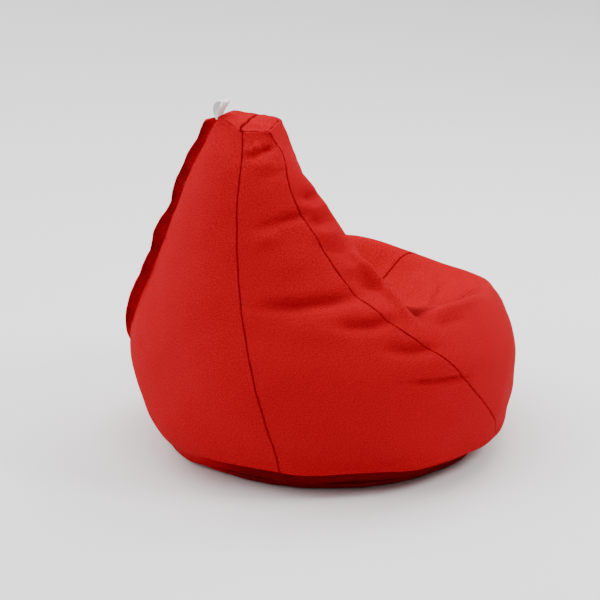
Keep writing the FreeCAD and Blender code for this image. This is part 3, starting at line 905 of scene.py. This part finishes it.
def make_zip_tape(name, node, direction):
    """Woven tape from the teeth to under the panel beside the zip."""
    piece = add_grid(name, 24, 80)
    c = coordinates(piece)
    offset = mix(*TAPE_EDGES, (c[:, 0] + 1) / 2)
    level = mix(*TAPE_LEVELS, (c[:, 1] + 1) / 2)
    n, side = beside_zip(np.zeros_like(level), level)[1:]
    depth = 0.0003 + 0.0052 * smooth((offset - 0.0035) / 0.0045)
    t = ((level - ZIP_LOW) / (ZIP_HIGH - ZIP_LOW))[:, None]
    line = mix(*ZIP_ENDS, t)
    points = line + side * (direction * offset)[:, None] - n * depth[:, None]
    shape_to(piece, points)
    cloth_map(piece, offset, level * 0.09)
    face_outward(piece, n.mean(0))
    thicken(piece, 0.0006)
    smooth_shading(piece)
    paint(piece, ZIP_TAPE)
    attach(piece, "bag")
    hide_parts(node)


def face_outward(piece, way):
    """Turns an open sheet so that its faces look along way."""
    total = sum((p.normal * p.area for p in piece.data.polygons), Vector((0, 0, 0)))
    if total.dot(Vector(way)) < 0:
        flip_faces(piece)


def zip_point(level, offset=-0.012):
    return tuple(beside_zip(np.array([offset]), np.array([level]))[0][0])


# The loop's outline from the side: outward from the cap's edge, and up, in metres.
LABEL_LINE = [
    (-0.0005, -0.004),
    (0.0030, 0.003),
    (0.0062, 0.012),
    (0.0060, 0.022),
    (0.0015, 0.031),
    (-0.0070, 0.0365),
    (-0.0160, 0.0370),
    (-0.0205, 0.0335),
    (-0.0175, 0.0270),
    (-0.0115, 0.0190),
    (-0.0065, 0.0110),
    (-0.0030, 0.0035),
    (-0.0020, -0.004),
]


LABEL_WIDTH = 0.028


def make_label():
    """A folded satin ribbon that rises from the cap's seam and curls over it."""
    edge = cap_corner(-90, CAP_RADIUS) - cap_corner(-30, CAP_RADIUS)
    edge = np.array([*(edge / np.linalg.norm(edge)), 0])
    out = np.array([-edge[1], edge[0], 0])
    corner = np.array([*cap_corner(-30, CAP_RADIUS), CAP_TOP + 0.008])
    if out @ (corner - np.array([0, CAP_BACK, 0])) < 0:
        out = -out
    start = corner - edge * 0.003 + out * 0.004
    piece = add_grid("satin_loop_label", 18, 96)
    c = coordinates(piece)
    s = (c[:, 0] + 1) / 2
    t = (c[:, 1] + 1) / 2 * (len(LABEL_LINE) - 1)
    x = curve([p[0] for p in LABEL_LINE], t)
    z = curve([p[1] for p in LABEL_LINE], t)
    droop = 0.0030 * (s - 0.5) * np.sin(math.pi * t / 12)
    turn = np.radians(20) * np.sin(math.pi * np.clip(t / 12, 0, 1)) ** 0.7
    width = LABEL_WIDTH * (s - 0.5)
    points = start + edge * (width * np.cos(turn) + 0.012)[:, None]
    points = points + out * (0.85 * x + droop - width * np.sin(turn))[:, None]
    points = points + np.array([0, 0, 1]) * (z + 0.0012 * np.sin(s * 7))[:, None]
    shape_to(piece, points)
    cloth_map(piece, s * LABEL_WIDTH, t * 0.008)
    thicken(piece, 0.0004)
    smooth_shading(piece)
    paint(piece, SATIN)
    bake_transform(piece)
    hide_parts("loop_label")


# ---------------------------------------------------------------- materials
def new_material(name):
    m = bpy.data.materials.new(name)
    m.use_nodes = True
    shader = m.node_tree.nodes["Principled BSDF"]
    return m, m.node_tree, shader


def weave_group():
    """Plain matting weave: a height and a thread mask from a cloth map in metres."""
    g = bpy.data.node_groups.new("Matting Weave", "ShaderNodeTree")
    g.interface.new_socket("Cloth", in_out="INPUT", socket_type="NodeSocketVector")
    g.interface.new_socket("Threads per metre", in_out="INPUT", socket_type="NodeSocketFloat")
    g.interface.new_socket("Height", in_out="OUTPUT", socket_type="NodeSocketFloat")
    g.interface.new_socket("Mottle", in_out="OUTPUT", socket_type="NodeSocketFloat")
    nodes, links = g.nodes, g.links
    inlet = nodes.new("NodeGroupInput")
    outlet = nodes.new("NodeGroupOutput")
    scale = nodes.new("ShaderNodeVectorMath")
    scale.operation = "SCALE"
    links.new(inlet.outputs["Cloth"], scale.inputs[0])
    links.new(inlet.outputs["Threads per metre"], scale.inputs["Scale"])
    parts = nodes.new("ShaderNodeSeparateXYZ")
    links.new(scale.outputs[0], parts.inputs[0])

    def wave(socket):
        turn = nodes.new("ShaderNodeMath")
        turn.operation = "MULTIPLY"
        turn.inputs[1].default_value = math.pi
        links.new(socket, turn.inputs[0])
        sine = nodes.new("ShaderNodeMath")
        sine.operation = "SINE"
        links.new(turn.outputs[0], sine.inputs[0])
        return sine.outputs[0]

    product = nodes.new("ShaderNodeMath")
    product.operation = "MULTIPLY"
    links.new(wave(parts.outputs["X"]), product.inputs[0])
    links.new(wave(parts.outputs["Y"]), product.inputs[1])
    height = nodes.new("ShaderNodeMath")
    height.operation = "ABSOLUTE"
    links.new(product.outputs[0], height.inputs[0])
    links.new(height.outputs[0], outlet.inputs["Height"])
    speckle = nodes.new("ShaderNodeTexNoise")
    speckle.inputs["Scale"].default_value = 0.50
    speckle.inputs["Detail"].default_value = 3.0
    links.new(scale.outputs[0], speckle.inputs["Vector"])
    links.new(speckle.outputs["Fac"], outlet.inputs["Mottle"])
    return g


def cloth_material(name, light, dark, threads, roughness, sheen, bump):
    m, tree, shader = new_material(name)
    nodes, links = tree.nodes, tree.links
    uv = nodes.new("ShaderNodeUVMap")
    uv.uv_map = "Cloth"
    weave = nodes.new("ShaderNodeGroup")
    weave.node_tree = WEAVE
    weave.inputs["Threads per metre"].default_value = threads
    links.new(uv.outputs["UV"], weave.inputs["Cloth"])
    shade = nodes.new("ShaderNodeMath")
    shade.operation = "MULTIPLY_ADD"
    shade.inputs[1].default_value = 0.35
    links.new(weave.outputs["Height"], shade.inputs[0])
    links.new(weave.outputs["Mottle"], shade.inputs[2])
    ramp = nodes.new("ShaderNodeValToRGB")
    ramp.color_ramp.elements[0].position = 0.38
    ramp.color_ramp.elements[0].color = (*dark, 1)
    ramp.color_ramp.elements[1].position = 0.88
    ramp.color_ramp.elements[1].color = (*light, 1)
    links.new(shade.outputs[0], ramp.inputs[0])
    # Painted shade: the stored shade attribute multiplies the colour darker, down to about a third
    # of the red where it is full.
    hollow = nodes.new("ShaderNodeAttribute")
    hollow.attribute_name = "PaintedShade"
    shade_darken = nodes.new("ShaderNodeMix")
    shade_darken.data_type = "RGBA"
    shade_darken.blend_type = "MULTIPLY"
    shade_darken.inputs["B"].default_value = (0.34, 0.25, 0.25, 1)
    links.new(hollow.outputs["Fac"], shade_darken.inputs["Factor"])
    links.new(ramp.outputs["Color"], shade_darken.inputs["A"])
    links.new(shade_darken.outputs["Result"], shader.inputs["Base Color"])
    relief = nodes.new("ShaderNodeBump")
    relief.inputs["Strength"].default_value = bump
    relief.inputs["Distance"].default_value = 0.0006
    links.new(weave.outputs["Height"], relief.inputs["Height"])
    links.new(relief.outputs["Normal"], shader.inputs["Normal"])
    shader.inputs["Roughness"].default_value = roughness
    shader.inputs["Sheen Weight"].default_value = sheen
    shader.inputs["Sheen Roughness"].default_value = 0.5
    shader.inputs["Sheen Tint"].default_value = (1.0, 0.45, 0.4, 1)
    shader.inputs["Specular IOR Level"].default_value = 0.05
    return m


def plain_material(name, color, roughness, sheen=0.0, shine=0.5):
    m, _, shader = new_material(name)
    shader.inputs["Base Color"].default_value = (*color, 1)
    shader.inputs["Roughness"].default_value = roughness
    shader.inputs["Specular IOR Level"].default_value = shine
    shader.inputs["Sheen Weight"].default_value = sheen
    return m


WEAVE = weave_group()
RED_CLOTH = cloth_material(
    "Red Matting Cloth", (0.52, 0.0024, 0.0100), (0.22, 0.0008, 0.0042), 620, 0.95, 0.0, 0.6
)
LINER_CLOTH = cloth_material(
    "White Liner Cloth", (0.86, 0.85, 0.82), (0.78, 0.77, 0.74), 2200, 0.9, 0.1, 0.2
)
BEADS = plain_material("Foam Beads", (0.93, 0.93, 0.93), 0.7)
SATIN = plain_material("White Satin", (0.90, 0.89, 0.89), 0.35, sheen=0.2)
ZIP_TAPE = plain_material("Zip Tape", (0.30, 0.003, 0.006), 0.9, shine=0.05)
ZIP_TEETH = plain_material("Zip Teeth", (0.24, 0.003, 0.005), 0.7, shine=0.08)
ZIP_METAL = plain_material("Red Enamel", (0.30, 0.005, 0.008), 0.45, shine=0.3)


# ---------------------------------------------------------------- build
for number, name in enumerate(PANELS):
    make_panel(number, name)
    make_liner_panel(number, name)
make_base("base_panel", "cover_base", 0.0, RED_CLOTH)
make_base("liner_bottom", "liner_base", 0.0100, LINER_CLOTH)
make_filling()
make_cap_half("cap_right_half", "cap_half_right", 0)
make_cap_half("cap_left_half", "cap_half_left", 180)
make_liner_cap()
make_zip_tape("zip_tape_by_back", "zip_tape_back_side", 1)
make_zip_tape("zip_tape_by_left_side", "zip_tape_left_side", -1)
make_flap(
    "zip_flap_lower_length",
    ["zip_flap", "zip_flap_tacked_end"],
    FLAP_LEVELS[0],
    FLAP_SPLIT,
    zip_point(3.7),
    zip_point(4.9),
)
make_flap(
    "zip_flap_upper_length",
    ["zip_flap_top_end"],
    FLAP_SPLIT,
    FLAP_LEVELS[-1],
    zip_point(6.4),
    zip_point(7.5),
)
make_label()

for node, material in (
    ("zip_teeth_back_side", ZIP_TEETH),
    ("zip_teeth_left_side", ZIP_TEETH),
    ("zip_top_stop", ZIP_TEETH),
    ("zip_bottom_stop", ZIP_TEETH),
    ("zip_slider", ZIP_METAL),
):
    paint(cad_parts[node], material)


# ---------------------------------------------------------------- floor, light, camera
def make_stage():
    deselect()
    bpy.ops.mesh.primitive_plane_add(size=1, location=(0, 0, 0))
    floor = bpy.context.object
    floor.name = "floor"
    floor.scale = (40, 40, 1)
    bpy.ops.object.transform_apply(location=False, rotation=False, scale=True)
    paint(floor, plain_material("Pale Floor", (0.90, 0.90, 0.895), 0.9))
    world = bpy.data.worlds.new("Studio")
    bpy.context.scene.world = world
    world.use_nodes = True
    world.node_tree.nodes["Background"].inputs["Color"].default_value = (0.98, 0.98, 1.0, 1)
    world.node_tree.nodes["Background"].inputs["Strength"].default_value = 0.34


def add_light(name, place, target, size, power):
    deselect()
    bpy.ops.object.light_add(type="AREA", location=place)
    light = bpy.context.object
    light.name = name
    light.data.shape = "RECTANGLE"
    light.data.size = size[0]
    light.data.size_y = size[1]
    light.data.energy = power
    light.rotation_euler = (Vector(target) - Vector(place)).to_track_quat("-Z", "Y").to_euler()


CAMERA_ANGLES = (234.0, 19.6)  # azimuth and elevation
CAMERA_AWAY = 7.42


def camera_axes(azimuth, elevation):
    a, e = math.radians(azimuth), math.radians(elevation)
    back = Vector((math.sin(a) * math.cos(e), -math.cos(a) * math.cos(e), math.sin(e)))
    right = Vector((math.cos(a), math.sin(a), 0))
    up = back.cross(right)
    return back, right, up


def add_camera():
    back, right, up = camera_axes(*CAMERA_ANGLES)
    aim = right * -0.0655 + up * 0.3050
    deselect()
    bpy.ops.object.camera_add(location=aim + back * CAMERA_AWAY)
    camera = bpy.context.object
    camera.data.lens = 193.3
    camera.rotation_euler = back.to_track_quat("Z", "Y").to_euler()
    bpy.context.scene.camera = camera


make_stage()
BACK, RIGHT, _ = camera_axes(*CAMERA_ANGLES)
FLAT = Vector((BACK.x, BACK.y, 0)).normalized()
add_light(
    "ceiling_panel", FLAT * -1.2 + RIGHT * -2.4 + Vector((0, 0, 5.0)),
    FLAT * -1.2, (8.0, 9.0), 740,
)
add_light(
    "overhead_softbox", RIGHT * 1.2 + FLAT * -1.3 + Vector((0, 0, 2.8)),
    (0, 0, 0.3), (1.8, 1.8), 70,
)
add_light(
    "left_softbox", RIGHT * -3.0 + FLAT * 1.6 + Vector((0, 0, 1.8)),
    (0, 0, 0.4), (1.6, 1.8), 30,
)
add_light(
    "right_softbox", RIGHT * 2.6 + FLAT * 1.0 + Vector((0, 0, 2.7)),
    (0, 0, 0.45), (1.2, 1.2), 88,
)
add_camera()
